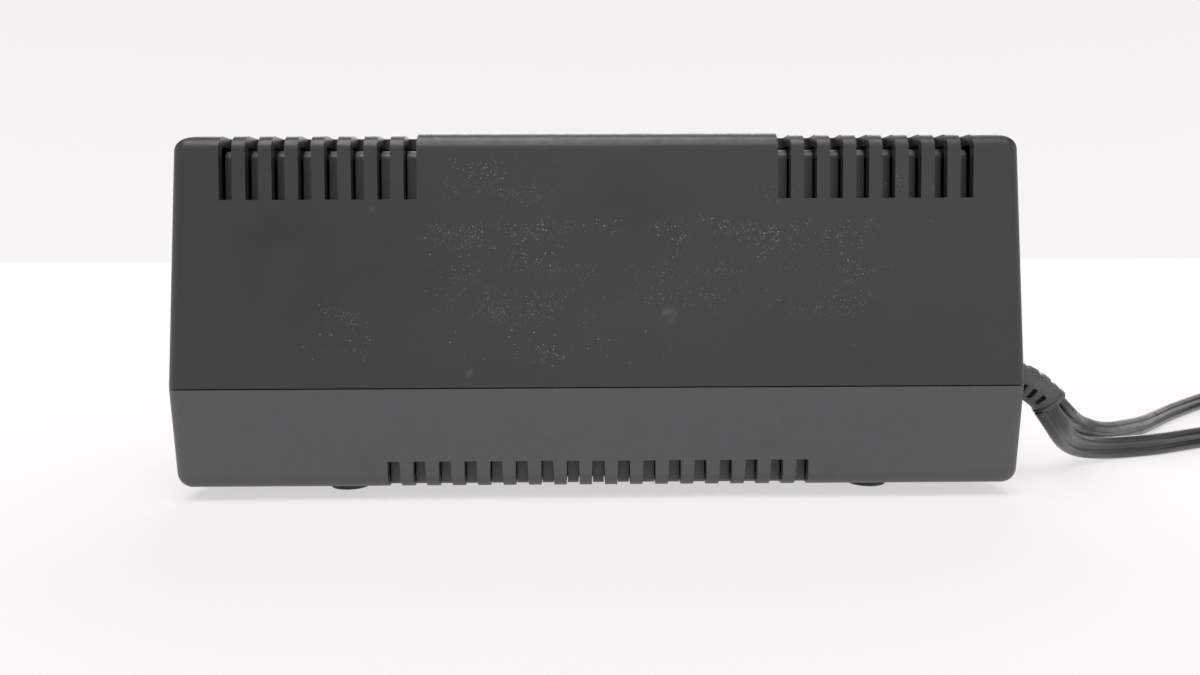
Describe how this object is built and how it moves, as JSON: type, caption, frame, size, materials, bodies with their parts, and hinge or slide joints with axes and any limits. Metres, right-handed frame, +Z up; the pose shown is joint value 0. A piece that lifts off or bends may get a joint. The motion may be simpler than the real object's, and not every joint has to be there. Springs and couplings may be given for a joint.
{
  "type": "balance battery charger",
  "caption": "Bench battery charger with a vented dark plastic housing, a sloping control panel, sockets on the front and two flat twin leads.",
  "frame": {"origin": "centre of the housing's base, at the height the rubber feet stand on", "axes": "+Z up, +Y towards the vented rear wall, -Y towards the control panel and sockets, +X to the right of a user who faces the panel"},
  "size_m": [0.4377, 0.1939, 0.0865],
  "materials": {
    "housing_plastic": "fine moulded texture, dark grey",
    "panel_film": "satin overlay",
    "clear_lens": "clear",
    "display": "smooth",
    "keycap": "satin",
    "keycap_red": "satin",
    "circuit_board": "solder mask",
    "dark_part": "moulded",
    "aluminium": "extruded",
    "steel": "plated",
    "brass": "stamped",
    "lamination": "varnished steel laminations",
    "winding_tape": "insulating tape",
    "ivory_plastic": "moulded",
    "rubber": "soft",
    "cord_sheath": "smooth flexible PVC",
    "red_plastic": "moulded",
    "black_plastic": "moulded"
  },
  "bodies": {
    "housing": {"balance_socket_1": "ivory_plastic", "balance_socket_2": "ivory_plastic", "balance_socket_3": "ivory_plastic", "balance_socket_4": "ivory_plastic", "balance_socket_5": "ivory_plastic", "button_board": "circuit_board", "buzzer": "dark_part", "clip_black_fixed_jaw": "black_plastic", "clip_black_pin": "steel", "clip_red_fixed_jaw": "red_plastic", "clip_red_pin": "steel", "control_panel": "panel_film", "dc_coil": "cord_sheath", "dc_lead": "cord_sheath", "dc_tail": "cord_sheath", "dc_tail_black": "cord_sheath", "dc_tail_red": "red_plastic", "dc_tie": "black_plastic", "display_window": "clear_lens", "filter_capacitor_1": "dark_part", "filter_capacitor_2": "dark_part", "foot_1": "rubber", "foot_2": "rubber", "foot_3": "rubber", "foot_4": "rubber", "heat_sink": "aluminium", "housing_screw_1": "steel", "housing_screw_2": "steel", "housing_screw_3": "steel", "housing_screw_4": "steel", "key_switch_1": "dark_part", "key_switch_2": "dark_part", "key_switch_3": "dark_part", "key_switch_4": "dark_part", "lcd_module": "display", "lower_shell": "housing_plastic", "main_board": "circuit_board", "mains_coil": "cord_sheath", "mains_fuse": "steel", "mains_lead": "cord_sheath", "mains_plug": "black_plastic", "mains_tail": "cord_sheath", "mains_tie": "black_plastic", "output_socket_black": "black_plastic", "output_socket_red": "red_plastic", "plug_blade_1": "brass", "plug_blade_2": "brass", "power_choke": "winding_tape", "rectifier_bridge": "dark_part", "strain_relief": "rubber", "temperature_socket": "ivory_plastic", "transformer_core": "lamination", "transformer_winding": "winding_tape", "upper_shell": "housing_plastic"},
    "button_stop": {"button_stop": "keycap_red"},
    "button_down": {"button_down": "keycap"},
    "button_up": {"button_up": "keycap"},
    "button_start": {"button_start": "keycap"},
    "clip_red_jaw": {"clip_red_moving_jaw": "red_plastic"},
    "clip_black_jaw": {"clip_black_moving_jaw": "black_plastic"}
  },
  "joints": [
    {"name": "button_stop_press", "type": "slide", "parent": "housing", "child": "button_stop", "axis": [0, 0.4468, -0.8946], "range_m": [0, 0.0008], "stiffness_N_per_m": 400},
    {"name": "button_down_press", "type": "slide", "parent": "housing", "child": "button_down", "axis": [0, 0.4468, -0.8946], "range_m": [0, 0.0008], "stiffness_N_per_m": 400},
    {"name": "button_up_press", "type": "slide", "parent": "housing", "child": "button_up", "axis": [0, 0.4468, -0.8946], "range_m": [0, 0.0008], "stiffness_N_per_m": 400},
    {"name": "button_start_press", "type": "slide", "parent": "housing", "child": "button_start", "axis": [0, 0.4468, -0.8946], "range_m": [0, 0.0008], "stiffness_N_per_m": 400},
    {"name": "clip_red_open", "type": "hinge", "parent": "housing", "child": "clip_red_jaw", "pos_m": [-0.301, 0.004, 0.0047], "axis": [0, 0, 1], "range_deg": [0, 22], "stiffness_Nm_per_rad": 0.2, "springref_deg": -11.46},
    {"name": "clip_black_open", "type": "hinge", "parent": "housing", "child": "clip_black_jaw", "pos_m": [-0.327, 0.004, 0.0047], "axis": [0, 0, 1], "range_deg": [0, 22], "stiffness_Nm_per_rad": 0.2, "springref_deg": -11.46}
  ]
}
